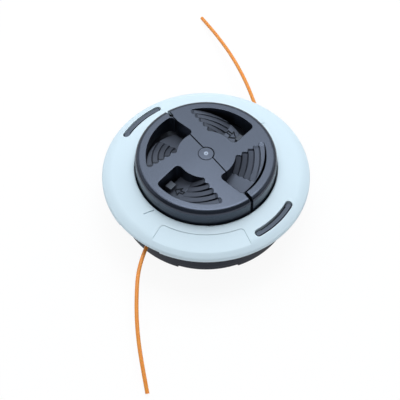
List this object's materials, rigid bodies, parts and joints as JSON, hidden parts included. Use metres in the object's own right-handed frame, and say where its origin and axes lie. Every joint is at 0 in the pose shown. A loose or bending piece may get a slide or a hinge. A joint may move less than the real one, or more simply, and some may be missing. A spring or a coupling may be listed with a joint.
{
  "type": "bump feed trimmer head",
  "caption": "Round trimmer head with a pale clip-on cover ring, a dark winding knob with stepped finger pockets, a sprung spool inside and line ends that leave through side eyelets.",
  "frame": {"origin": "centre of the drive face, on the surface that the head lies on", "axes": "+Z along the spin axis from the drive face to the knob; +X to the right of the picture"},
  "size_m": [0.128, 0.2942, 0.0484],
  "materials": {
    "casing": "moulded nylon, fine grain",
    "cover": "moulded nylon, satin, pale blue grey",
    "knob": "moulded nylon, satin, dark grey",
    "spool": "moulded nylon",
    "steel": "plain steel",
    "eyelet": "rolled and plated",
    "line": "drawn nylon, orange"
  },
  "bodies": {
    "casing": {"upper_casing": "casing", "thread_insert": "steel", "eyelet_front": "eyelet", "eyelet_rear": "eyelet", "cover_ring": "cover", "line_end_front": "line", "line_end_rear": "line"},
    "spring": {"bump_spring": "steel"},
    "spool": {"spool": "spool", "knob_half_boss": "knob", "knob_half_plain": "knob", "line_winding_lower": "line", "line_winding_upper": "line"}
  },
  "joints": [
    {"name": "bump", "type": "slide", "parent": "casing", "child": "spring", "axis": [0, 0, -1], "range_m": [0, 0.005], "stiffness_N_per_m": 4000, "springref_m": -0.003, "deforming": ["bump_spring"]},
    {"name": "spin", "type": "hinge", "parent": "spring", "child": "spool", "pos_m": [0, 0, 0], "axis": [0, 0, 1], "continuous": true}
  ]
}
